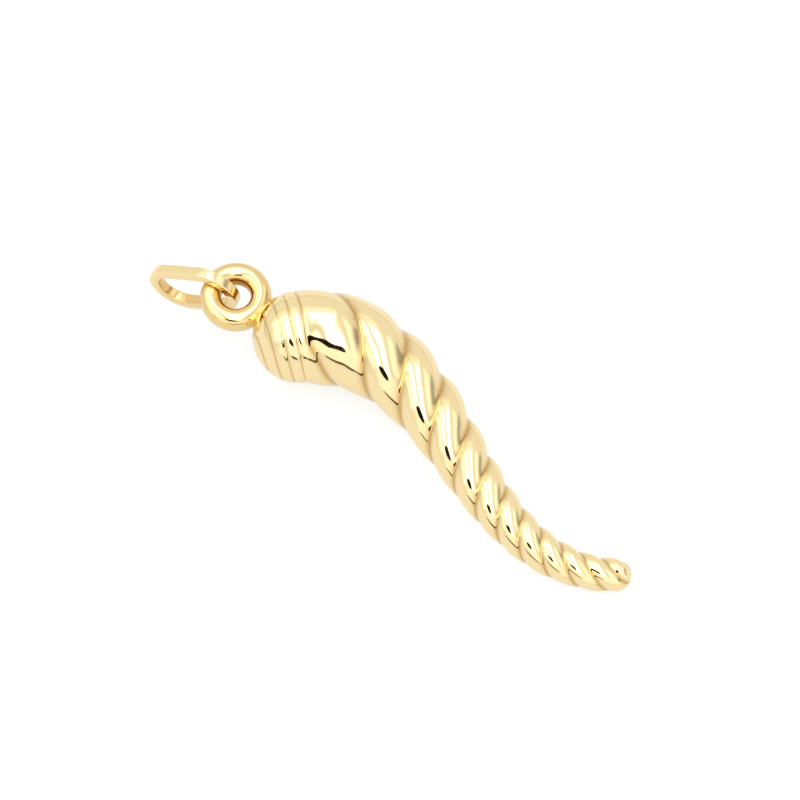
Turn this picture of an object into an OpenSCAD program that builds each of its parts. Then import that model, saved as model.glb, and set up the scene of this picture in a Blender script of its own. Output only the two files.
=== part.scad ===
// Horn pendant in polished yellow gold, as it lies on a table. X runs from the
// hanging ring to the horn's tip, Z is up, and the origin is on the table under
// the middle of the part.

/* [Horn] */
// Length of the horn's bent middle line, from the dome's centre to the tip's
horn_l = 28.0; // [20:0.1:60]
// Radius of the dome at the thick end
dome_r = 3.12; // [2:0.05:5]
// Radius that the belly tapers from
belly_r = 3.4; // [2.2:0.02:6]
// Radius of the rounded tip
tip_r = 1.1; // [0.6:0.02:2]
// Distance over which the dome swells into the belly
swell_l = 2.6; // [1:0.1:6]
// Share of the length where the taper is half done
taper_at = 0.6; // [0.3:0.01:0.9]
// How sudden the taper is
taper_power = 1.52; // [1.2:0.02:4]
// Swing of the S bend, in degrees
sway = 21.2; // [0:0.2:30]
// Turn that the bend gains from end to end, in degrees
lean = -2.9; // [-10:0.1:10]

/* [Twist] */
// Number of grooves that wind round the horn
starts = 3; // [2:1:5]
// Length of one lobe of the twist at the belly
belly_lobe = 3.55; // [2:0.05:8]
// Length of the first lobe by the dome
first_lobe = 5.65; // [2:0.05:12]
// Distance over which the lobes pass from the first one's length to the belly's
first_over = 5.5; // [1:0.1:10]
// Length of one lobe at the tip
tip_lobe = 1.6; // [0.8:0.02:4]
// Share of the length where the lobes change from long to short
lobe_at = 0.56; // [0.2:0.01:0.9]
// How sudden that change is
lobe_power = 7; // [2:0.5:12]
// Length of each narrow ridge on the dome
ridge_l = 0.82; // [0.4:0.02:2]
// Distance from the dome's centre where the narrow ridges end
ridge_end = 0.45; // [0:0.05:3]
// Distance over which they open out into the lobes
opening_l = 0.4; // [0.3:0.05:4]
// Depth of a groove for each millimetre of lobe
groove_depth = 0.115; // [0:0.005:0.2]
// Distance over which the grooves reach that depth, from where the ridges end
deepen_l = 3.2; // [0.3:0.1:6]
// Share of a groove's depth that is left on the side to the table
under_depth = 0.5; // [0.2:0.05:1]
// How full a lobe is, from 2 for a round one to 5 for a flat one
fullness = 2.1; // [1.5:0.1:5]
// How full the first lobe by the dome is
first_fullness = 3.6; // [1.5:0.1:5]
// Distance from the dome's centre where the lobes start to round off
round_from = 3.2; // [0:0.1:8]
// Distance over which they round off
round_over = 2.6; // [0.5:0.1:8]
// Softness of the groove's bottom, as a share of half a lobe
groove_soft = 0.12; // [0.02:0.01:0.6]
// Where a groove crosses the dome's rim, in degrees round the horn
twist_start = 38; // [0:1:180]

/* [Hanging ring] */
// Diameter of the ring's hole
hole_d = 1.95; // [1.4:0.05:6]
// Thickness of the ring across, from the hole to the outside
ring_t = 1.43; // [0.6:0.01:3]
// Height of the ring along its hole
ring_h = 1.68; // [0.8:0.01:4]
// Depth that the ring is let into the dome
ring_sink = 0.38; // [0.1:0.01:0.6]
// Direction of the ring from the dome, in degrees off the X axis
ring_turn = 4.7; // [-20:0.1:20]
// Radius of the solder neck between ring and dome
solder_r = 1.1; // [0.6:0.05:2]
// Length of the solder neck
solder_l = 0.5; // [0.3:0.05:1]

/* [Bail] */
// Length of the oval bail outside
bail_l = 6.9; // [5:0.05:14]
// Width of the bail outside
bail_w = 4.16; // [4:0.02:10]
// Side of its square wire
bail_wire = 0.74; // [0.4:0.01:1.6]
// Edge of the wire that is worn off
bail_edge = 0.1; // [0.02:0.01:0.2]
// Direction from the bail to the hanging ring, in degrees off the X axis
bail_turn = 15.5; // [-60:0.5:60]
// Gap between the bail and the ring that it hangs on
bail_gap = 0.07; // [0.03:0.01:0.3]
// Distance that its wire lies off the middle of the ring's hole
bail_out = 0.2; // [0:0.02:0.6]

/* [Lying] */
// Roll of the horn as it lies, in degrees
lie_roll = 4; // [-20:0.1:20]
// Slope of the horn down to its tip as it lies, in degrees
lie_slope = 4.5; // [0:0.1:15]

/* [Hidden] */
gold = "#e8c77a";

// Corners round the horn, rings along a lobe and rings over each end
around = 36;
rings_per_lobe = 11;
least_step = 0.04;
dome_rings = 20;
tip_rings = 6;
dome_crowd = 0.7;
// Part of the dome that the ridges fade out over, as shares of its radius
fade_from = -0.46;
fade_over = 0.16;
// Direction of the side to the table, in degrees round the horn
under_at = 225;
// Depth of the solder neck in the dome, and its narrow end as a share of its foot
solder_in = 0.06;
solder_taper = 0.78;

// An S from 0 to 1 as x goes from 0 to 1
function ease(x) = let(c = min(max(x, 0), 1)) c * c * (3 - 2 * c);

// Shape along the horn, at a distance s from the dome's centre
function taper(s) =
    let(last = 1 / (1 + pow(1 / taper_at, taper_power)),
        here = 1 / (1 + pow(max(s, 0) / horn_l / taper_at, taper_power)))
    tip_r + (belly_r - tip_r) * (here - last) / (1 - last)
    - (belly_r - dome_r) * (1 - ease(s / swell_l));
function radius(s) =
    s < 0 ? sqrt(max(pow(dome_r, 2) - s * s, 0))
    : s > horn_l ? sqrt(max(pow(tip_r, 2) - pow(s - horn_l, 2), 0))
    : taper(s);
function heading(s) =
    let(u = 2 * min(max(s, 0), horn_l) / horn_l - 1)
    sway * (3 * u * u - 1) + lean * u;
function opened(s) = ease((s - ridge_end) / opening_l);
function body_lobe(s) = tip_lobe + (belly_lobe - tip_lobe)
    / (1 + pow(max(s, 0) / horn_l / lobe_at, lobe_power));
function lobe(s) =
    let(more = (first_lobe - belly_lobe) * (1 - ease((s - ridge_end) / first_over)))
    ridge_l + (body_lobe(s) + more - ridge_l) * opened(s);
function depth(s) =
    groove_depth * (ridge_l + (body_lobe(s) - ridge_l) * ease((s - ridge_end) / deepen_l))
    * min(radius(s) / tip_r, 1) * ease((s / dome_r - fade_from) / fade_over);
function depth_share(angle) = 1 - (1 - under_depth) * pow((1 + cos(angle - under_at)) / 2, 2);
function full(s) =
    first_fullness + (fullness - first_fullness) * ease((s - round_from) / round_over);

// Drop below the crest at an angle from a groove, 0 on a crest and 1 in a groove
function dip(s, angle) =
    let(span = 360 / starts,
        w = abs((angle % span + span * 3 / 2) % span - span / 2) / (span / 2),
        soft = (sqrt(w * w + pow(groove_soft, 2)) - groove_soft)
            / (sqrt(1 + pow(groove_soft, 2)) - groove_soft))
    pow(1 - soft, full(s));

// A step of the walk along the horn: [distance, twist, turn of the corners, x, y]
function after(at, ds) =
    let(mid = at[0] + ds / 2, twist = 360 / starts * ds / lobe(mid), way = heading(mid))
    [at[0] + ds, at[1] + twist, at[2] + twist * opened(mid),
     at[3] + ds * cos(way), at[4] + ds * sin(way)];
function step_at(s) = lobe(s) / rings_per_lobe + least_step;
body_walk = [for (at = [0, 0, 0, 0, 0]; at[0] < horn_l - least_step;
    at = after(at, min(step_at(at[0]), horn_l - at[0]))) at];
last = body_walk[len(body_walk) - 1];
tip_start = after(last, horn_l - last[0]);
dome_walk = [for (i = [1 : dome_rings - 1])
    after([0, 0, 0, 0, 0], -dome_r * cos(90 * pow(i / dome_rings, dome_crowd)))];
tip_walk = [for (i = [1 : tip_rings - 1])
    after(tip_start, tip_r * sin(90 * i / tip_rings))];
walk = concat(dome_walk, body_walk, [tip_start], tip_walk);

// One point of the skin, at an angle round a place in the walk
function skin_point(at, angle) =
    let(r = radius(at[0]) - depth(at[0]) * depth_share(angle)
            * dip(at[0], angle - twist_start - at[1]),
        way = heading(at[0]))
    [at[3] - sin(way) * r * cos(angle), at[4] + cos(way) * r * cos(angle), r * sin(angle)];
function pole(at, r) = [at[3] + r * cos(heading(at[0])), at[4] + r * sin(heading(at[0])), 0];
skin = concat(
    [for (at = walk, j = [0 : around - 1]) skin_point(at, 360 * j / around + at[2])],
    [pole([0, 0, 0, 0, 0], -dome_r), pole(tip_start, tip_r)]);
rows = len(walk);
function corner(i, j) = i * around + j % around;
skin_faces = concat(
    [for (i = [0 : rows - 2], j = [0 : around - 1])
        [corner(i, j), corner(i + 1, j), corner(i, j + 1)]],
    [for (i = [0 : rows - 2], j = [0 : around - 1])
        [corner(i, j + 1), corner(i + 1, j), corner(i + 1, j + 1)]],
    [for (j = [0 : around - 1]) [rows * around, corner(0, j), corner(0, j + 1)]],
    [for (j = [0 : around - 1])
        [corner(rows - 1, j), rows * around + 1, corner(rows - 1, j + 1)]]);

// Lying: rolled about X, then sloped down to the tip, then lifted onto the table
function lie(p) =
    let(y = p[1] * cos(lie_roll) - p[2] * sin(lie_roll),
        z = p[1] * sin(lie_roll) + p[2] * cos(lie_roll))
    [p[0] * cos(lie_slope) + z * sin(lie_slope), y,
     z * cos(lie_slope) - p[0] * sin(lie_slope)];
lying = [for (p = skin) lie(p)];
lift = -min([for (p = lying) p[2]]);

// Hanging ring, before the horn is laid down
ring_mid = (hole_d + ring_t) / 2;
ring_away = dome_r + ring_mid + ring_t / 2 - ring_sink;
ring_at = [-ring_away * cos(ring_turn), -ring_away * sin(ring_turn), 0];
ring_low = lie(ring_at);

// Bail: upright on its edge, hung on the ring's outer side and down on the table
bail_end_r = bail_w / 2;
bail_half = (bail_l - bail_w) / 2;
bail_in_r = bail_end_r - bail_wire;
ring_in_bail = bail_end_r - bail_wire / 2 + bail_out - ring_mid;
hung_at = lie(ring_at - ring_mid * [cos(bail_turn), sin(bail_turn), 0]);
ring_axis = lie([0, 0, 1]);
across = abs(ring_axis[1] * cos(bail_turn) - ring_axis[0] * sin(bail_turn)) / ring_axis[2];
hung_z = hung_at[2] + lift + (ring_h - ring_t) / 2 + bail_wire / 2 * across;
arch = sqrt(pow(bail_in_r - ring_t / 2 - bail_gap, 2) - pow(ring_in_bail, 2));
bail_rise = asin((hung_z - arch - bail_end_r) / (2 * bail_half));
bail_reach = bail_out + bail_l / 2 - bail_wire / 2 - bail_half * (1 - cos(bail_rise));
bail_at = [ring_low[0] - bail_reach * cos(bail_turn), ring_low[1] - bail_reach * sin(bail_turn),
    bail_end_r + bail_half * sin(bail_rise)];

// Middle of the whole part, seen from above
bail_far = bail_half * cos(bail_rise) + bail_end_r;
low_x = bail_at[0] - bail_far * cos(bail_turn) - bail_wire / 2 * sin(abs(bail_turn));
high_x = max([for (p = lying) p[0]]);
low_y = min([for (p = lying) p[1]]);
high_y = max([for (p = lying) p[1]]);
shift = [-(low_x + high_x) / 2, -(low_y + high_y) / 2, 0];

module horn_skin() {
    polyhedron(points = skin, faces = skin_faces);
}

module hanging_ring() {
    translate(ring_at) rotate_extrude($fn = 64) translate([ring_mid, 0]) {
        for (side = [-1, 1]) translate([0, side * (ring_h - ring_t) / 2]) circle(d = ring_t, $fn = 32);
        square([ring_t, ring_h - ring_t], center = true);
    }
}

module solder_neck() {
    from = sqrt(pow(dome_r, 2) - pow(solder_r, 2)) - solder_in;
    rotate([0, 0, ring_turn]) translate([-from, 0, 0]) rotate([0, -90, 0])
        cylinder(h = solder_l, r1 = solder_r, r2 = solder_r * solder_taper, $fn = 48);
}

module horn() {
    color(gold) translate(shift + [0, 0, lift]) rotate([lie_roll, lie_slope, 0]) {
        horn_skin();
        hanging_ring();
        solder_neck();
    }
}

module wire_section() {
    flat = bail_wire / 2 - bail_edge;
    half = bail_wire / 2;
    polygon([[-flat, -half], [flat, -half], [half, -flat], [half, flat],
             [flat, half], [-flat, half], [-half, flat], [-half, -flat]]);
}

module bail() {
    wire_mid = bail_end_r - bail_wire / 2;
    color(gold) translate(shift + bail_at) rotate([0, 0, bail_turn]) rotate([0, -bail_rise, 0])
        rotate([90, 0, 0]) for (side = [0, 180]) rotate([0, 0, side]) {
            translate([bail_half, 0, 0]) rotate([0, 0, -90]) rotate_extrude(angle = 180, $fn = 64)
                translate([wire_mid, 0]) wire_section();
            translate([-bail_half, wire_mid, 0]) rotate([90, 0, 90])
                linear_extrude(2 * bail_half) wire_section();
        }
}

horn();
bail();
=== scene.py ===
"""Gold horn pendant, polished, as it lies on a white table under a light tent.

Lengths are in millimetres and angles in degrees, unless a name or comment says otherwise.
"""

import logging
import math
from dataclasses import dataclass, field
from enum import Enum
from typing import NamedTuple

import bmesh
import bpy
from mathutils import Matrix, Vector, noise


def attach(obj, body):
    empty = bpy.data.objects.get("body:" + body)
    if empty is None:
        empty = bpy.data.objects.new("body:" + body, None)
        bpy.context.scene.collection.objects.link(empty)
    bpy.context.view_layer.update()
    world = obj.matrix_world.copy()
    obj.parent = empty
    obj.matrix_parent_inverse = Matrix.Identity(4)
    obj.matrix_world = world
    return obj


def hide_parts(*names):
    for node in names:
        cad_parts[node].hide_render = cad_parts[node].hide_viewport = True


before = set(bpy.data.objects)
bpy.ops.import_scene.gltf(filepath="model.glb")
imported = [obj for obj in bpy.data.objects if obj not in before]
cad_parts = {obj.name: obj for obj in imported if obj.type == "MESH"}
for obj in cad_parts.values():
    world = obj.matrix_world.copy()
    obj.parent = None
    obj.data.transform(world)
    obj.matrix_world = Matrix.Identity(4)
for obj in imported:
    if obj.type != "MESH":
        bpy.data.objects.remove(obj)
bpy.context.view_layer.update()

MM = 0.001
DOME_R = 3.12
RING_TURN = 4.7
WHITE = (1.0, 1.0, 1.0)
LOG = logging.getLogger("pendant")


# Small helpers


def ease(x: float) -> float:
    """Return an S from 0 to 1 as x goes from 0 to 1."""
    c = min(max(x, 0.0), 1.0)
    return c * c * (3.0 - 2.0 * c)


def finish_mesh(bm: bmesh.types.BMesh, name: str, smooth: bool = True) -> bpy.types.Object:
    """Turn a finished bmesh into an object at the origin, in metres.

    Args:
        bm: The mesh, which is freed.
        name: The piece's name.
        smooth: Whether its faces are shaded smooth.

    Returns:
        The new object, linked to the scene.
    """
    bmesh.ops.scale(bm, vec=(MM, MM, MM), verts=bm.verts)
    bmesh.ops.recalc_face_normals(bm, faces=bm.faces)
    for face in bm.faces:
        face.smooth = smooth
    mesh = bpy.data.meshes.new(name)
    bm.to_mesh(mesh)
    bm.free()
    piece = bpy.data.objects.new(name, mesh)
    bpy.context.scene.collection.objects.link(piece)
    return piece


def math_node(
    tree: bpy.types.NodeTree, operation: str, *values: object, clamp: bool = False
) -> bpy.types.NodeSocket:
    """Add a Math node to a tree.

    Args:
        tree: The node tree.
        operation: What the node works out.
        values: A socket or a number for each input.
        clamp: Whether the result is kept between 0 and 1.

    Returns:
        The node's output.
    """
    node = tree.nodes.new("ShaderNodeMath")
    node.operation, node.use_clamp = operation, clamp
    for socket, value in zip(node.inputs, values):
        if isinstance(value, bpy.types.NodeSocket):
            tree.links.new(value, socket)
        else:
            socket.default_value = value
    return node.outputs[0]


def soft_range(
    tree: bpy.types.NodeTree, value: bpy.types.NodeSocket, low: float, high: float, soft: float
) -> bpy.types.NodeSocket:
    """Add nodes that tell where a value lies in a range.

    Args:
        tree: The node tree.
        value: The value.
        low: The range's lower end.
        high: Its upper end.
        soft: Half the width over which each end fades.

    Returns:
        1 inside the range and 0 outside, with soft ends.
    """
    above = math_node(tree, "SUBTRACT", value, low - soft)
    below = math_node(tree, "SUBTRACT", high + soft, value)
    rise = math_node(tree, "DIVIDE", above, 2.0 * soft, clamp=True)
    fall = math_node(tree, "DIVIDE", below, 2.0 * soft, clamp=True)
    return math_node(tree, "MULTIPLY", rise, fall)


def blend(
    tree: bpy.types.NodeTree, mask: bpy.types.NodeSocket, off: object, on: float
) -> bpy.types.NodeSocket:
    """Add nodes that blend two values by a mask.

    Args:
        tree: The node tree.
        mask: How much of the second value shows, from 0 to 1.
        off: The value, or its socket, where the mask is 0.
        on: The value where the mask is 1.

    Returns:
        The blended value.
    """
    rest = math_node(tree, "MULTIPLY", math_node(tree, "SUBTRACT", 1.0, mask), off)
    return math_node(tree, "ADD", rest, math_node(tree, "MULTIPLY", mask, on))


# Shader groups that the finishes share


class NodeGroups:
    """Shader node groups, each built once.

    Scales count cells or marks a metre, and MARK_TURN is in radians. The numbers that
    start with MIX are those of the sockets with which a Mix node blends colours.
    """

    CLOUD_SCALE, CLOUD_DETAIL = 420.0, 3.0
    MARK_SCALE, MARK_DETAIL = 2600.0, 2.0
    MARK_STRETCH = (1.0, 7.0, 7.0)
    MARK_TURN = (0.2, 0.5, 0.6)
    MIX_SHARE, MIX_LIGHT, MIX_DEEP, MIX_COLOR = 0, 6, 7, 2

    @staticmethod
    def _new(
        name: str, inputs: dict[str, tuple[str, object]], outputs: dict[str, str]
    ) -> bpy.types.NodeTree:
        """Make an empty group with its sockets.

        Args:
            name: The group's name.
            inputs: Socket type and default value for each input.
            outputs: Socket type for each output.

        Returns:
            The new group.
        """
        group = bpy.data.node_groups.new(name, "ShaderNodeTree")
        for label, (kind, value) in inputs.items():
            socket = group.interface.new_socket(name=label, in_out="INPUT", socket_type=kind)
            socket.default_value = value
        for label, kind in outputs.items():
            group.interface.new_socket(name=label, in_out="OUTPUT", socket_type=kind)
        group.nodes.new("NodeGroupInput").name = "in"
        group.nodes.new("NodeGroupOutput").name = "out"
        return group

    @staticmethod
    def _noise(
        group: bpy.types.NodeTree, vector: bpy.types.NodeSocket, scale: float, detail: float
    ) -> bpy.types.NodeSocket:
        """Add a noise texture to a group.

        Args:
            group: The group.
            vector: Where the noise is read.
            scale: Its cells a metre.
            detail: Its finer layers.

        Returns:
            The noise's value.
        """
        texture = group.nodes.new("ShaderNodeTexNoise")
        texture.inputs["Scale"].default_value = scale
        texture.inputs["Detail"].default_value = detail
        group.links.new(vector, texture.inputs["Vector"])
        return texture.outputs["Fac"]

    @classmethod
    def polish(cls) -> bpy.types.NodeTree:
        """Give a buffed metal its faint haze and wipe marks.

        Returns:
            The group, which puts out a roughness and a height for a bump.
        """
        name = "Hand polish"
        if name in bpy.data.node_groups:
            return bpy.data.node_groups[name]
        group = cls._new(
            name,
            {
                "Vector": ("NodeSocketVector", (0.0, 0.0, 0.0)),
                "Roughness": ("NodeSocketFloat", 0.05),
                "Haze": ("NodeSocketFloat", 0.03),
                "Scratch": ("NodeSocketFloat", 0.02),
            },
            {"Roughness": "NodeSocketFloat", "Height": "NodeSocketFloat"},
        )
        given, out = group.nodes["in"].outputs, group.nodes["out"].inputs
        cloud = cls._noise(group, given["Vector"], cls.CLOUD_SCALE, cls.CLOUD_DETAIL)
        stretch = group.nodes.new("ShaderNodeMapping")
        stretch.inputs["Scale"].default_value = cls.MARK_STRETCH
        stretch.inputs["Rotation"].default_value = cls.MARK_TURN
        group.links.new(given["Vector"], stretch.inputs["Vector"])
        mark = cls._noise(group, stretch.outputs["Vector"], cls.MARK_SCALE, cls.MARK_DETAIL)
        haze = math_node(group, "MULTIPLY", cloud, given["Haze"])
        scratch = math_node(group, "MULTIPLY", mark, given["Scratch"])
        both = math_node(group, "ADD", haze, scratch)
        group.links.new(math_node(group, "ADD", both, given["Roughness"]), out["Roughness"])
        group.links.new(cloud, out["Height"])
        return group

    @classmethod
    def painted_shade_group(cls) -> bpy.types.NodeTree:
        """Paint shade into the gold where a groove or seam is deep.

        Returns:
            The group, which puts out a colour.
        """
        name = "Depth tint"
        if name in bpy.data.node_groups:
            return bpy.data.node_groups[name]
        group = cls._new(
            name,
            {
                "Light": ("NodeSocketColor", (1.0, 0.8, 0.5, 1.0)),
                "Shaded": ("NodeSocketColor", (0.8, 0.5, 0.2, 1.0)),
                "Depth": ("NodeSocketFloat", 0.0),
            },
            {"Color": "NodeSocketColor"},
        )
        given = group.nodes["in"].outputs
        mix = group.nodes.new("ShaderNodeMix")
        mix.data_type = "RGBA"
        group.links.new(given["Depth"], mix.inputs[cls.MIX_SHARE])
        group.links.new(given["Light"], mix.inputs[cls.MIX_LIGHT])
        group.links.new(given["Shaded"], mix.inputs[cls.MIX_DEEP])
        group.links.new(mix.outputs[cls.MIX_COLOR], group.nodes["out"].inputs["Color"])
        return group


@dataclass(frozen=True)
class GoldFinish:
    """Polished yellow gold.

    The depth attribute of a mesh, 0 on open metal and 1 in a seam, paints shade into its colour.
    bump is the strength of the haze's waves and bump_height their height in metres.
    """

    name: str
    light: tuple[float, float, float]
    shade_colour: tuple[float, float, float]
    roughness: float = 0.035
    haze: float = 0.03
    scratch: float = 0.015
    bump: float = 0.25
    bump_height: float = 0.000012

    def material(self) -> bpy.types.Material:
        """Make the finish's material on its first use.

        Returns:
            The material.
        """
        if self.name in bpy.data.materials:
            return bpy.data.materials[self.name]
        material = bpy.data.materials.new(self.name)
        material.use_nodes = True
        nodes, links = material.node_tree.nodes, material.node_tree.links
        shader = nodes["Principled BSDF"]
        shader.inputs["Metallic"].default_value = 1.0
        where = nodes.new("ShaderNodeTexCoord")
        polish = nodes.new("ShaderNodeGroup")
        polish.node_tree = NodeGroups.polish()
        polish.inputs["Roughness"].default_value = self.roughness
        polish.inputs["Haze"].default_value = self.haze
        polish.inputs["Scratch"].default_value = self.scratch
        links.new(where.outputs["Object"], polish.inputs["Vector"])
        links.new(polish.outputs["Roughness"], shader.inputs["Roughness"])
        # Painted shade: the depth attribute blends the base colour towards the darker colour.
        depth = nodes.new("ShaderNodeAttribute")
        depth.attribute_name = "depth"
        painted_shade = nodes.new("ShaderNodeGroup")
        painted_shade.node_tree = NodeGroups.painted_shade_group()
        painted_shade.inputs["Light"].default_value = (*self.light, 1.0)
        painted_shade.inputs["Shaded"].default_value = (*self.shade_colour, 1.0)
        links.new(depth.outputs["Fac"], painted_shade.inputs["Depth"])
        links.new(painted_shade.outputs["Color"], shader.inputs["Base Color"])
        bump = nodes.new("ShaderNodeBump")
        bump.inputs["Strength"].default_value = self.bump
        bump.inputs["Distance"].default_value = self.bump_height
        links.new(polish.outputs["Height"], bump.inputs["Height"])
        links.new(bump.outputs["Normal"], shader.inputs["Normal"])
        return material


# The second colour of each finish is painted shade, which the depth attribute blends in.
HORN_GOLD = GoldFinish("Horn gold", light=(0.92, 0.745, 0.41), shade_colour=(0.6, 0.38, 0.13))
RING_GOLD = GoldFinish("Ring gold", light=(0.82, 0.625, 0.285), shade_colour=(0.5, 0.28, 0.08))
BAIL_GOLD = GoldFinish("Bail gold", light=(0.915, 0.735, 0.395), shade_colour=(0.8, 0.56, 0.24), roughness=0.06)
SOLDER_GOLD = GoldFinish(
    "Solder gold", light=(0.46, 0.29, 0.11), shade_colour=(0.4, 0.24, 0.08), roughness=0.3, haze=0.1
)


# The horn


class Step(NamedTuple):
    """A point of the walk along the horn's middle line.

    s is its distance from the dome's centre, twist how far the grooves have gone round
    by there, turn how far the mesh's own corners have, and x and y are its place.
    """

    s: float
    twist: float
    turn: float
    x: float
    y: float


@dataclass
class TwistedHorn:
    """The horn: an S-bent tapering body with three grooves that wind round it.

    It is worked out with the dome's centre at the origin and the horn running along X,
    before it is laid on the table. Places along it are distances from that centre, and
    a field that ends in power or fullness sets the form of a curve. sway and lean bend
    the middle line. A lobe is the skin between two grooves, and opening_l the stretch
    in which the dome's narrow ridges open into lobes. under_depth is the share of the
    grooves' depth that is left on the underside, and fade_from and fade_over, shares
    of the dome's radius, end the grooves on the dome. uneven is the height of the
    skin's slow waves, and uneven_sink the share of it by which the skin is lowered.
    """

    # Body

    length: float = 28.0
    dome_r: float = DOME_R
    belly_r: float = 3.4
    tip_r: float = 1.1
    swell_l: float = 2.6
    taper_at: float = 0.6
    taper_power: float = 1.52
    sway: float = 21.2
    lean: float = -2.9

    # Lobes

    starts: int = 3
    twist_start: float = 38.0
    belly_lobe: float = 3.55
    first_lobe: float = 5.65
    first_over: float = 5.5
    tip_lobe: float = 1.6
    lobe_at: float = 0.56
    lobe_power: float = 7.0
    ridge_l: float = 0.82
    ridge_end: float = 0.45
    opening_l: float = 0.4

    # Grooves

    groove_depth: float = 0.115
    groove_soft: float = 0.12
    deepen_l: float = 3.2
    fullness: float = 2.1
    first_fullness: float = 3.6
    round_from: float = 3.2
    round_over: float = 2.6
    under_depth: float = 0.5
    under_at: float = 225.0
    fade_from: float = -0.46
    fade_over: float = 0.16
    # The power that turns a groove's dip into painted shade in the depth layer.
    shade_power: float = 3.4

    # Skin

    uneven: float = 0.012
    uneven_scale: float = 0.75
    uneven_sink: float = 0.5

    # Mesh

    around: int = 132
    rows: int = 600
    dome_rows: int = 54
    dome_crowding: float = 0.8
    tip_rows: int = 26
    row_spread: float = 0.6
    pace_steps: int = 4000
    walk_steps: int = 6000
    path: list[Step] = field(default_factory=list)

    def taper(self, s: float) -> float:
        """Return the body's radius.

        Args:
            s: The distance from the dome's centre.

        Returns:
            The radius, without the rounding of dome and tip.
        """
        last = 1.0 / (1.0 + (1.0 / self.taper_at) ** self.taper_power)
        here = 1.0 / (1.0 + (max(s, 0.0) / self.length / self.taper_at) ** self.taper_power)
        body = self.tip_r + (self.belly_r - self.tip_r) * (here - last) / (1.0 - last)
        return body - (self.belly_r - self.dome_r) * (1.0 - ease(s / self.swell_l))

    def radius(self, s: float) -> float:
        """Return the radius, rounded off over the dome and the tip.

        Args:
            s: The distance from the dome's centre.

        Returns:
            The radius.
        """
        if s < 0.0:
            return math.sqrt(max(self.dome_r**2 - s * s, 0.0))
        if s > self.length:
            return math.sqrt(max(self.tip_r**2 - (s - self.length) ** 2, 0.0))
        return self.taper(s)

    def heading(self, s: float) -> float:
        """Return the middle line's direction at s, in radians off X."""
        u = 2.0 * min(max(s, 0.0), self.length) / self.length - 1.0
        return math.radians(self.sway * (3.0 * u * u - 1.0) + self.lean * u)

    def opened(self, s: float) -> float:
        """Return 0 on the dome's narrow ridges and 1 on the open lobes."""
        return ease((s - self.ridge_end) / self.opening_l)

    def body_lobe(self, s: float) -> float:
        """Return the length of an open lobe at s."""
        share = max(s, 0.0) / self.length / self.lobe_at
        return self.tip_lobe + (self.belly_lobe - self.tip_lobe) / (1.0 + share**self.lobe_power)

    def lobe(self, s: float) -> float:
        """Return the length of a ridge or lobe at s."""
        more = (self.first_lobe - self.belly_lobe) * (1.0 - ease((s - self.ridge_end) / self.first_over))
        return self.ridge_l + (self.body_lobe(s) + more - self.ridge_l) * self.opened(s)

    def depth(self, s: float, angle: float) -> float:
        """Return the grooves' depth, which is less on the underside.

        Args:
            s: The distance from the dome's centre.
            angle: The place round the horn.

        Returns:
            The depth of a groove there.
        """
        fade = ease((s / self.dome_r - self.fade_from) / self.fade_over)
        under = (0.5 + 0.5 * math.cos(math.radians(angle - self.under_at))) ** 2
        share = 1.0 - (1.0 - self.under_depth) * under
        lobe = self.ridge_l + (self.body_lobe(s) - self.ridge_l) * ease((s - self.ridge_end) / self.deepen_l)
        return self.groove_depth * lobe * min(self.radius(s) / self.tip_r, 1.0) * fade * share

    def dip(self, s: float, angle: float) -> float:
        """Return how far down between crest and groove a point lies.

        Args:
            s: The distance from the dome's centre.
            angle: The angle from a groove.

        Returns:
            0 on a crest and 1 in a groove.
        """
        span = 360.0 / self.starts
        off = abs((angle + span / 2.0) % span - span / 2.0) / (span / 2.0)
        soft = self.groove_soft
        rise = (math.sqrt(off * off + soft**2) - soft) / (math.sqrt(1.0 + soft**2) - soft)
        rounding = ease((s - self.round_from) / self.round_over)
        return (1.0 - rise) ** (self.first_fullness + (self.fullness - self.first_fullness) * rounding)

    def walk(self) -> None:
        """Fill path with the steps along the middle line, from the dome's end to the tip."""
        low, high = -self.dome_r, self.length + self.tip_r
        ds = (high - low) / self.walk_steps
        behind = round(self.dome_r / ds)
        centre = Step(0.0, 0.0, 0.0, 0.0, 0.0)
        ahead_path, behind_path = [centre], []
        for sign, count, path in (
            (1.0, self.walk_steps - behind, ahead_path),
            (-1.0, behind, behind_path),
        ):
            last = centre
            for _ in range(count):
                mid = last.s + sign * ds / 2.0
                course = self.heading(mid)
                twist = sign * 360.0 / self.starts * ds / self.lobe(mid)
                last = Step(
                    s=last.s + sign * ds,
                    twist=last.twist + twist,
                    turn=last.turn + twist * self.opened(mid),
                    x=last.x + sign * ds * math.cos(course),
                    y=last.y + sign * ds * math.sin(course),
                )
                path.append(last)
        self.path = behind_path[::-1] + ahead_path

    def at(self, s: float) -> Step:
        """Return the walk's values at a distance between its steps.

        Args:
            s: The distance from the dome's centre.

        Returns:
            The values there.
        """
        low, high = self.path[0].s, self.path[-1].s
        place = (min(max(s, low), high) - low) / (high - low) * (len(self.path) - 1)
        i = min(int(place), len(self.path) - 2)
        share = place - i
        return Step(*(a + (b - a) * share for a, b in zip(self.path[i], self.path[i + 1])))

    def stations(self) -> list[float]:
        """Return the mesh rows' distances from the dome's centre.

        Returns:
            The distances, crowded at both ends and where lobes are short.
        """
        body = self.rows - self.dome_rows - self.tip_rows
        quarter = math.pi / 2
        marks = [
            -self.dome_r * math.cos(quarter * (i / self.dome_rows) ** self.dome_crowding)
            for i in range(self.dome_rows)
        ]
        pace, total = [], 0.0
        for i in range(self.pace_steps):
            s = self.length * (i + 0.5) / self.pace_steps
            total += 1.0 / (self.lobe(s) + self.row_spread)
            pace.append(total)
        i = 0
        for k in range(body):
            while i < self.pace_steps - 1 and pace[i] < total * k / body:
                i += 1
            marks.append(self.length * i / self.pace_steps if k else 0.0)
        marks += [
            self.length + self.tip_r * math.sin(quarter * i / self.tip_rows)
            for i in range(self.tip_rows)
        ]
        return marks

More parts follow.
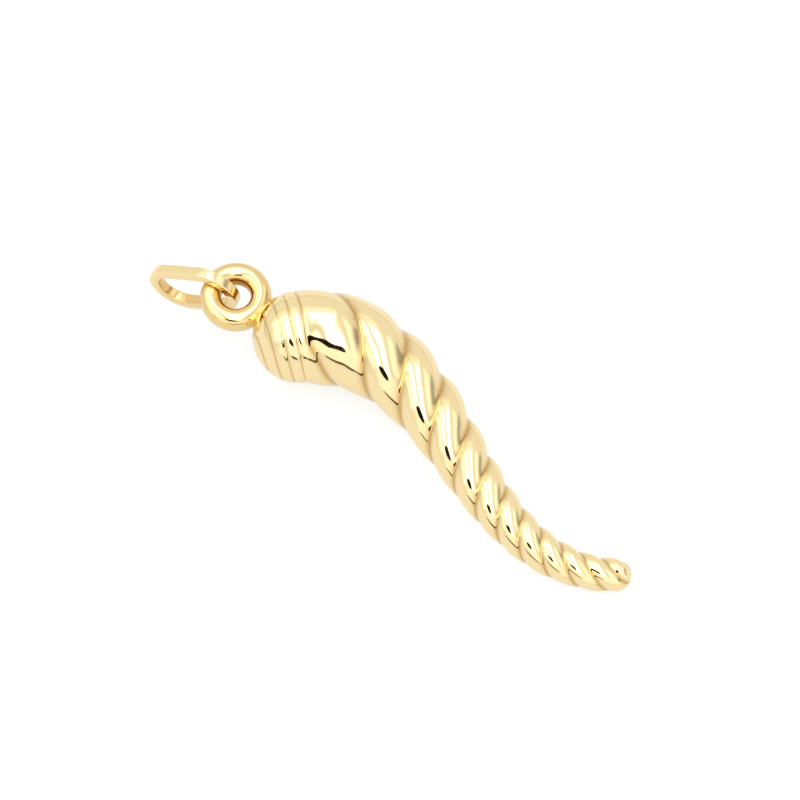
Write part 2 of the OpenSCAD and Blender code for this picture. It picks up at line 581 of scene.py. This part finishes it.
    def build(self, lay: Matrix) -> bpy.types.Object:
        """Shape a sphere's rows into the horn and lay it on the table.

        Args:
            lay: The transform from the horn's own frame to the table, in millimetres.

        Returns:
            The horn's object.
        """
        self.walk()
        rows = self.stations()[1:]
        count = len(rows) + 1
        bm = bmesh.new()
        bmesh.ops.create_uvsphere(bm, u_segments=self.around, v_segments=count, radius=1.0)
        # Painted shade: this layer darkens the gold towards the grooves.
        painted_shade = bm.verts.layers.float.new("depth")
        for vert in bm.verts:
            row = round(math.acos(min(max(-vert.co.z, -1.0), 1.0)) / math.pi * count)
            if row in (0, count):
                end = self.at(-self.dome_r if row == 0 else self.length + self.tip_r)
                vert.co = Vector((end.x, end.y, 0.0))
                continue
            s = rows[row - 1]
            here = self.at(s)
            angle = math.degrees(math.atan2(vert.co.y, vert.co.x)) + here.turn
            dip = self.dip(s, angle - self.twist_start - here.twist)
            course, phi = self.heading(s), math.radians(angle)
            r = self.radius(s) - self.depth(s, angle) * dip
            spot = Vector((s, r * math.cos(phi), r * math.sin(phi))) * self.uneven_scale
            r += self.uneven * min(r / self.tip_r, 1.0) * (noise.noise(spot) - self.uneven_sink)
            vert.co = Vector((
                here.x - math.sin(course) * r * math.cos(phi),
                here.y + math.cos(course) * r * math.cos(phi),
                r * math.sin(phi),
            ))
            vert[painted_shade] = dip**self.shade_power
        bmesh.ops.transform(bm, matrix=lay, verts=bm.verts)
        return finish_mesh(bm, "Twisted_horn")


# The hanging ring and its solder


@dataclass
class HangingRing:
    """The thick ring soldered to the dome, with its hole across the horn's bend.

    sink is how far it goes into the dome, and flat the share of the wire's thickness
    over which its round section is drawn up to its full height. The painted shade in the
    hole starts shade_from of the wire's half thickness inwards, and is full shade_over
    further in. It ends shade_top of the ring's height above its middle, and fades over
    shade_fade.
    """

    hole_d: float = 1.95
    thick: float = 1.43
    height: float = 1.68
    flat: float = 0.12
    sink: float = 0.38
    turn: float = RING_TURN
    dome_r: float = DOME_R
    shade_from: float = 0.3
    shade_over: float = 0.6
    shade_top: float = 0.45
    shade_fade: float = 0.4
    round_steps: int = 20
    steps: int = 128

    @property
    def mid(self) -> float:
        """Radius of the ring's middle line."""
        return (self.hole_d + self.thick) / 2.0

    @property
    def centre(self) -> Vector:
        """The ring's centre in the horn's frame."""
        away = self.dome_r + self.mid + self.thick / 2.0 - self.sink
        turn = math.radians(self.turn)
        return Vector((-away * math.cos(turn), -away * math.sin(turn), 0.0))

    def build(self, lay: Matrix) -> bpy.types.Object:
        """Spin the ring's section, two half rounds with a short flat between.

        Args:
            lay: The transform from the horn's frame to the table, in millimetres.

        Returns:
            The ring's object.
        """
        bm = bmesh.new()
        bmesh.ops.create_circle(bm, cap_ends=False, radius=self.thick / 2.0, segments=2 * self.round_steps)
        bmesh.ops.rotate(bm, matrix=Matrix.Rotation(math.pi / 2, 3, "X"), verts=bm.verts)
        half = (self.height - self.thick) / 2.0
        for vert in bm.verts:
            vert.co.z += math.copysign(half, vert.co.z) * min(abs(vert.co.z) / (self.flat * self.thick), 1.0)
        bmesh.ops.translate(bm, vec=(self.mid, 0.0, 0.0), verts=bm.verts)
        bmesh.ops.spin(
            bm, geom=bm.verts[:] + bm.edges[:], cent=(0, 0, 0), axis=(0, 0, 1),
            angle=2.0 * math.pi, steps=self.steps, use_merge=True,
        )
        # Painted shade: this layer darkens the gold on the hole's inner wall, below the ring's top.
        painted_shade = bm.verts.layers.float.new("depth")
        for vert in bm.verts:
            inward = (self.mid - vert.co.xy.length) / (self.thick / 2.0)
            below = self.shade_top * self.height - vert.co.z
            vert[painted_shade] = ease((inward - self.shade_from) / self.shade_over) * ease(below / self.shade_fade)
        bmesh.ops.translate(bm, vec=self.centre, verts=bm.verts)
        bmesh.ops.transform(bm, matrix=lay, verts=bm.verts)
        return finish_mesh(bm, "Hanging_ring")


@dataclass
class SolderBead:
    """The bead of solder that joins ring and dome, slightly uneven.

    radius is that of its end at the dome, taper the share of it at the ring, waist the
    share that the sides are drawn in halfway, and flat its height's share of its width.
    sink is how far its end goes into the dome past the circle where they meet.
    """

    radius: float = 1.1
    length: float = 0.5
    taper: float = 0.78
    waist: float = 0.14
    flat: float = 0.62
    sink: float = 0.06
    uneven: float = 0.03
    uneven_scale: float = 1.7
    turn: float = RING_TURN
    dome_r: float = DOME_R
    around: int = 72
    cuts: int = 7

    def build(self, lay: Matrix) -> bpy.types.Object:
        """Build the bead from a cone with rounded, uneven sides.

        Args:
            lay: The transform from the horn's frame to the table, in millimetres.

        Returns:
            The bead's object.
        """
        bm = bmesh.new()
        bmesh.ops.create_cone(
            bm, cap_ends=True, segments=self.around, radius1=self.radius,
            radius2=self.radius * self.taper, depth=self.length,
        )
        sides = [e for e in bm.edges if abs(e.verts[0].co.z - e.verts[1].co.z) > self.length / 2.0]
        bmesh.ops.subdivide_edges(bm, edges=sides, cuts=self.cuts)
        for vert in bm.verts:
            along = vert.co.z / self.length + 0.5
            drawn_in = 1.0 - self.waist * math.sin(math.pi * min(max(along, 0.0), 1.0))
            rough = 1.0 + self.uneven * noise.noise(vert.co * self.uneven_scale)
            vert.co.x *= drawn_in * rough
            vert.co.y *= drawn_in * rough
        reach = math.sqrt(self.dome_r**2 - self.radius**2) - self.sink + self.length / 2.0
        bmesh.ops.rotate(bm, matrix=Matrix.Rotation(-math.pi / 2, 3, "Y"), verts=bm.verts)
        bmesh.ops.scale(bm, vec=(1.0, 1.0, self.flat), verts=bm.verts)
        bmesh.ops.translate(bm, vec=(-reach, 0.0, 0.0), verts=bm.verts)
        bmesh.ops.rotate(bm, matrix=Matrix.Rotation(math.radians(self.turn), 3, "Z"), verts=bm.verts)
        bmesh.ops.transform(bm, matrix=lay, verts=bm.verts)
        return finish_mesh(bm, "Solder_bead")


# The bail


@dataclass
class SquareWireBail:
    """The oval bail of square wire, upright and hung over the ring.

    edge is how far the wire's corners are cut back, gap its distance from the ring, and
    The painted shade on the inner side starts shade_from of the wire inside the wire's middle
    line, and is full shade_over of the wire further in.
    full shade_over of the wire further in.
    """

    length: float = 6.9
    width: float = 4.16
    wire: float = 0.74
    edge: float = 0.1
    turn: float = 15.5
    gap: float = 0.07
    out: float = 0.2
    shade_from: float = 0.3
    shade_over: float = 0.15
    edge_steps: int = 4
    end_steps: int = 48
    bar_steps: int = 8
    weld: float = 1e-4

    @property
    def end_r(self) -> float:
        """Outer radius of the oval's round ends."""
        return self.width / 2.0

    @property
    def mid(self) -> float:
        """Radius of the wire's middle line round the ends."""
        return self.end_r - self.wire / 2.0

    @property
    def half(self) -> float:
        """Half the length of the oval's straight sides."""
        return (self.length - self.width) / 2.0

    def rise(self, ring: HangingRing, lay: Matrix) -> float:
        """Return the pitch that hangs the bail's upper arm over the ring.

        Args:
            ring: The ring that the bail hangs on.
            lay: The transform from the horn's frame to the table.

        Returns:
            The pitch in radians.
        """
        turn = math.radians(self.turn)
        inside = self.mid + self.out - ring.mid
        hung = lay @ (ring.centre - ring.mid * Vector((math.cos(turn), math.sin(turn), 0.0)))
        axis = (lay.to_3x3() @ Vector((0.0, 0.0, 1.0))).normalized()
        across = abs(axis.y * math.cos(turn) - axis.x * math.sin(turn)) / axis.z
        top = hung.z + (ring.height - ring.thick) / 2.0 + self.wire / 2.0 * across
        arch = math.sqrt((self.end_r - self.wire - ring.thick / 2.0 - self.gap) ** 2 - inside**2)
        return math.asin((top - arch - self.end_r) / (2.0 * self.half))

    def sweep(self, bm: bmesh.types.BMesh) -> None:
        """Sweep the wire's square section once round the oval, upright along X.

        Args:
            bm: The empty mesh that the oval is made in.
        """
        bmesh.ops.create_circle(bm, cap_ends=False, radius=self.wire / math.sqrt(2.0), segments=4)
        bmesh.ops.rotate(bm, matrix=Matrix.Rotation(math.pi / 4, 3, "Z"), verts=bm.verts)
        bmesh.ops.bevel(
            bm, geom=bm.verts[:], offset=self.edge, offset_type="OFFSET", segments=self.edge_steps,
            profile=0.5, affect="VERTICES", material=-1,
        )
        bmesh.ops.rotate(bm, matrix=Matrix.Rotation(math.pi / 2, 3, "X"), verts=bm.verts)
        bmesh.ops.rotate(bm, matrix=Matrix.Rotation(math.pi / 2, 3, "Z"), verts=bm.verts)
        bmesh.ops.translate(bm, vec=(self.half, 0.0, self.mid), verts=bm.verts)
        loop = bm.edges[:]
        for side in (1.0, -1.0):
            turned = bmesh.ops.spin(
                bm, geom=list({v for e in loop for v in e.verts}) + loop,
                cent=(side * self.half, 0.0, 0.0), axis=(0.0, 1.0, 0.0), angle=math.pi,
                steps=self.end_steps, use_merge=False,
            )
            loop = [g for g in turned["geom_last"] if isinstance(g, bmesh.types.BMEdge)]
            step = (-side * 2.0 * self.half / self.bar_steps, 0.0, 0.0)
            for _ in range(self.bar_steps):
                pulled = bmesh.ops.extrude_edge_only(bm, edges=loop)["geom"]
                verts = [g for g in pulled if isinstance(g, bmesh.types.BMVert)]
                loop = [g for g in pulled if isinstance(g, bmesh.types.BMEdge)]
                bmesh.ops.translate(bm, vec=step, verts=verts)
        bmesh.ops.remove_doubles(bm, verts=bm.verts, dist=self.weld)

    def build(self, ring: HangingRing, lay: Matrix) -> bpy.types.Object:
        """Make the oval and hang it on the ring.

        Args:
            ring: The ring that the bail hangs on.
            lay: The transform from the horn's frame to the table, in millimetres.

        Returns:
            The bail's object.
        """
        bm = bmesh.new()
        self.sweep(bm)
        # Painted shade: this layer darkens the gold on the bail's inner side.
        painted_shade = bm.verts.layers.float.new("depth")
        for vert in bm.verts:
            away = math.hypot(max(abs(vert.co.x) - self.half, 0.0), vert.co.z)
            vert[painted_shade] = ease((self.mid - self.shade_from * self.wire - away) / (self.shade_over * self.wire))
        rise, turn = self.rise(ring, lay), math.radians(self.turn)
        low = lay @ ring.centre
        reach = self.out + self.half * math.cos(rise) + self.mid
        bmesh.ops.rotate(bm, matrix=Matrix.Rotation(-rise, 3, "Y"), verts=bm.verts)
        bmesh.ops.rotate(bm, matrix=Matrix.Rotation(turn, 3, "Z"), verts=bm.verts)
        place = (
            low.x - reach * math.cos(turn),
            low.y - reach * math.sin(turn),
            self.end_r + self.half * math.sin(rise),
        )
        bmesh.ops.translate(bm, vec=place, verts=bm.verts)
        return finish_mesh(bm, "Oval_bail")


# How the horn lies


@dataclass(frozen=True)
class Lying:
    """Roll and slope of the horn on the table, and its place there."""

    roll: float = 4.0
    slope: float = 4.5
    dome_at: tuple[float, float, float] = (-8.0352, -0.8441, 3.2296)

    def matrix(self) -> Matrix:
        """Return the transform that lays the horn on the table.

        Returns:
            The transform from the horn's own frame to the table.
        """
        sloped = Matrix.Rotation(math.radians(self.slope), 4, "Y")
        rolled = Matrix.Rotation(math.radians(self.roll), 4, "X")
        return Matrix.Translation(self.dome_at) @ (sloped @ rolled)


# Studio


class Tone(Enum):
    """Brightness of the table and of the parts of the light tent."""

    WALL = 0.97
    VEIL = 1.25
    ROOF = 3.2
    WING = 2.6
    GAP = 0.92
    RIM = 1.42
    FRONT = 1.28
    SIDE = 0.5
    LEFT = 1.7
    BACK = 0.5
    SEEN = 1.0
    TABLE = 0.68
    TABLE_IN_GOLD = 0.55


@dataclass(frozen=True)
class Band:
    """A four-sided part of the tent with soft edges.

    tilt is its range in degrees, from 0 at the front over 90 overhead to 180 at the
    back, and side its range from -1 at the camera's left to 1 at its right. The third
    number of each is the softness of its edges.
    """

    tone: Tone
    tilt: tuple[float, float, float]
    side: tuple[float, float, float]


BANDS = (
    Band(Tone.VEIL, tilt=(50.0, 138.0, 5.0), side=(-0.8, 0.24, 0.06)),
    Band(Tone.FRONT, tilt=(8.0, 50.0, 4.0), side=(-0.7, 0.9, 0.08)),
    Band(Tone.SIDE, tilt=(30.0, 150.0, 8.0), side=(0.8, 0.93, 0.03)),
    Band(Tone.RIM, tilt=(24.0, 126.0, 8.0), side=(0.44, 0.7, 0.06)),
    Band(Tone.LEFT, tilt=(44.0, 126.0, 6.0), side=(-0.88, -0.74, 0.04)),
    Band(Tone.ROOF, tilt=(50.0, 122.0, 4.0), side=(-0.18, 0.14, 0.05)),
    Band(Tone.WING, tilt=(50.0, 122.0, 4.0), side=(-0.62, -0.34, 0.05)),
    Band(Tone.GAP, tilt=(50.0, 122.0, 4.0), side=(-0.31, -0.21, 0.03)),
)
# The dark strip low behind the table: its heights, from 0 to 1 overhead, and softness
BACK_LINE = (0.0, 0.03, 0.008)


@dataclass(frozen=True)
class Flag:
    """An oval card in front of the pendant, which shows only in the gold.

    side, front and up are its middle's distances from the camera's target, to the
    camera's right, towards the camera along the table, and up. tone is its brightness.
    """

    name: str
    side: float
    front: float
    up: float
    width: float
    height: float
    tone: float


FLAGS = (
    Flag("Dark_card", side=-19.5, front=40.5, up=49.4, width=34.0, height=19.0, tone=0.012),
    Flag("Low_bar", side=-9.0, front=38.0, up=8.0, width=36.0, height=5.2, tone=0.16),
)


@dataclass
class Studio:
    """White table, light tent and camera at the photograph's angle.

    clip_m is the range that the camera sees, in metres.
    """

    azimuth: float = 38.2
    elevation: float = 63.0
    distance: float = 177.8
    target: tuple[float, float, float] = (-0.188, 0.110, 1.951)
    lens: float = 120.0
    sensor: float = 36.0
    clip_m: tuple[float, float] = (0.005, 20.0)
    table_size: float = 600.0
    table_grey: float = 0.32
    table_roughness: float = 0.9
    card_steps: int = 64
    card_tint: tuple[float, float, float] = (1.0, 0.72, 0.48)
    tent_tint: tuple[float, float, float] = (1.0, 0.995, 0.985)

    def camera(self) -> None:
        """Set the scene's camera."""
        turn, lift = math.radians(self.azimuth), math.radians(self.elevation)
        back = Vector((math.sin(turn) * math.cos(lift), -math.cos(turn) * math.cos(lift), math.sin(lift)))
        lens = bpy.data.cameras.new("Camera")
        lens.lens, lens.sensor_width = self.lens, self.sensor
        lens.clip_start, lens.clip_end = self.clip_m
        seat = bpy.data.objects.new("Camera", lens)
        seat.location = (Vector(self.target) + back * self.distance) * MM
        seat.rotation_euler = (-back).to_track_quat("-Z", "Y").to_euler()
        bpy.context.scene.collection.objects.link(seat)
        bpy.context.scene.camera = seat

    @staticmethod
    def glowing(
        piece: bpy.types.Object, name: str, grey: float, glow: tuple[float, float, float]
    ) -> bpy.types.Material:
        """Give a piece of the studio a dull material that glows.

        Args:
            piece: The piece.
            name: The material's name.
            grey: The grey of its base colour.
            glow: The colour that it glows in.

        Returns:
            The material, whose glow has no strength yet.
        """
        material = bpy.data.materials.new(name)
        material.use_nodes = True
        shader = material.node_tree.nodes["Principled BSDF"]
        shader.inputs["Base Color"].default_value = (grey, grey, grey, 1.0)
        shader.inputs["Specular IOR Level"].default_value = 0.0
        shader.inputs["Emission Color"].default_value = (*glow, 1.0)
        piece.data.materials.append(material)
        return material

    def table(self) -> None:
        """Lay the white table top, which glows less in the gold than for the camera."""
        bm = bmesh.new()
        bmesh.ops.create_grid(bm, x_segments=1, y_segments=1, size=self.table_size)
        top = finish_mesh(bm, "Table_top", smooth=False)
        tree = self.glowing(top, "White table", self.table_grey, WHITE).node_tree
        shader = tree.nodes["Principled BSDF"]
        shader.inputs["Roughness"].default_value = self.table_roughness
        path = tree.nodes.new("ShaderNodeLightPath")
        less = Tone.TABLE_IN_GOLD.value - Tone.TABLE.value
        strength = math_node(tree, "MULTIPLY_ADD", path.outputs["Is Glossy Ray"], less, Tone.TABLE.value)
        tree.links.new(strength, shader.inputs["Emission Strength"])

    def flag(self, card: Flag) -> None:
        """Set up a card that faces the pendant.

        Args:
            card: Its place, size and brightness.
        """
        turn = math.radians(self.azimuth)
        right = Vector((math.cos(turn), math.sin(turn), 0.0))
        near = Vector((math.sin(turn), -math.cos(turn), 0.0))
        middle = right * card.side + near * card.front + Vector((0.0, 0.0, card.up))
        bm = bmesh.new()
        bmesh.ops.create_circle(bm, cap_ends=True, radius=0.5, segments=self.card_steps)
        bmesh.ops.scale(bm, vec=(card.width, card.height, 1.0), verts=bm.verts)
        facing = middle.to_track_quat("Z", "Y").to_matrix()
        bmesh.ops.rotate(bm, matrix=facing, verts=bm.verts)
        bmesh.ops.translate(bm, vec=middle + Vector(self.target), verts=bm.verts)
        piece = finish_mesh(bm, card.name, smooth=False)
        piece.visible_camera = piece.visible_diffuse = piece.visible_shadow = False
        material = self.glowing(piece, card.name, 0.0, self.card_tint)
        material.node_tree.nodes["Principled BSDF"].inputs["Emission Strength"].default_value = card.tone

    def tent(self) -> None:
        """Light the scene from a white tent with brighter and darker bands."""
        world = bpy.data.worlds.new("Light tent")
        bpy.context.scene.world = world
        world.use_nodes = True
        tree = world.node_tree
        nodes, links = tree.nodes, tree.links
        glow = nodes["Background"]

        way = nodes.new("ShaderNodeTexCoord")
        spin = nodes.new("ShaderNodeMapping")
        spin.inputs["Rotation"].default_value = (0.0, 0.0, -math.radians(self.azimuth))
        links.new(way.outputs["Generated"], spin.inputs["Vector"])
        split = nodes.new("ShaderNodeSeparateXYZ")
        links.new(spin.outputs["Vector"], split.inputs["Vector"])
        side, up = split.outputs["X"], split.outputs["Z"]
        front = math_node(tree, "MULTIPLY", split.outputs["Y"], -1.0)
        tilt = math_node(tree, "MULTIPLY", math_node(tree, "ARCTAN2", up, front), 180.0 / math.pi)
        tone = Tone.WALL.value
        for band in BANDS:
            across, along = soft_range(tree, side, *band.side), soft_range(tree, tilt, *band.tilt)
            tone = blend(tree, math_node(tree, "MULTIPLY", along, across), tone, band.tone.value)
        behind = math_node(tree, "LESS_THAN", front, 0.0)
        back = math_node(tree, "MULTIPLY", soft_range(tree, up, *BACK_LINE), behind)
        tone = blend(tree, back, tone, Tone.BACK.value)
        path = nodes.new("ShaderNodeLightPath")
        tone = blend(tree, path.outputs["Is Camera Ray"], tone, Tone.SEEN.value)
        links.new(tone, glow.inputs["Strength"])
        glow.inputs["Color"].default_value = (*self.tent_tint, 1.0)

    def build(self) -> None:
        """Set up camera, table, tent, flags and a plain view of the colours."""
        self.camera()
        self.table()
        self.tent()
        for card in FLAGS:
            self.flag(card)
        bpy.context.scene.view_settings.view_transform = "Standard"


# The whole pendant


@dataclass
class Pendant:
    """The pendant: twisted horn, hanging ring, solder bead and bail."""

    horn: TwistedHorn = field(default_factory=TwistedHorn)
    ring: HangingRing = field(default_factory=HangingRing)
    solder: SolderBead = field(default_factory=SolderBead)
    bail: SquareWireBail = field(default_factory=SquareWireBail)
    lying: Lying = field(default_factory=Lying)

    @staticmethod
    def dress(piece: bpy.types.Object, finish: GoldFinish, node: str, slot: str) -> None:
        """Give a piece its finish, attach it to the root body and hide the CAD node that it stands for.

        Args:
            piece: The finished piece.
            finish: Its finish.
            node: The CAD node that it stands for.
            slot: The record's material slot; it is not used.
        """
        piece.data.materials.append(finish.material())
        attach(piece, "root")
        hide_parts(node)
        LOG.info("%s: %d faces", piece.name, len(piece.data.polygons))

    def build(self) -> None:
        """Build and dress each piece in order."""
        lay = self.lying.matrix()
        self.dress(self.horn.build(lay), HORN_GOLD, "horn", "horn_gold")
        self.dress(self.ring.build(lay), RING_GOLD, "horn", "horn_gold")
        self.dress(self.solder.build(lay), SOLDER_GOLD, "horn", "horn_gold")
        self.dress(self.bail.build(self.ring, lay), BAIL_GOLD, "bail", "bail_gold")


def main() -> None:
    """Build the studio and the pendant."""
    logging.basicConfig(level=logging.INFO, format="%(name)s: %(message)s")
    Studio().build()
    Pendant().build()


if __name__ == "__main__":
    main()
